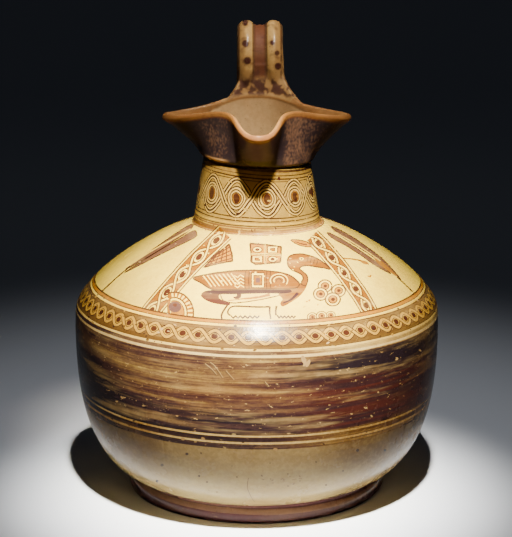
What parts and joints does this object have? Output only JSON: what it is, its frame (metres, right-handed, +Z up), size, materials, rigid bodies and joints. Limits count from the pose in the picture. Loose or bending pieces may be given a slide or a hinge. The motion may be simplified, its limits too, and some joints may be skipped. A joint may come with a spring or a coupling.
{
  "type": "trefoil-mouthed oinochoe",
  "caption": "Painted clay wine jug with a ring foot, wide round body, short neck, trefoil pouring mouth and high double-roll handle, hollow and open at the mouth",
  "frame": {"origin": "middle of the underside of the ring foot, on the surface the jug stands on", "axes": "+Z up along the jug's axis, the pouring lobe of the mouth and the painted bird face -Y, the handle is at +Y, +X is to the right seen from the front"},
  "size_m": [0.2254, 0.2254, 0.2848],
  "materials": {
    "painted_clay": "fired clay with cream slip, painted in brown, purple and ochre, worn and softly glossy"
  },
  "bodies": {
    "root": {"oinochoe": "painted_clay"}
  },
  "joints": []
}
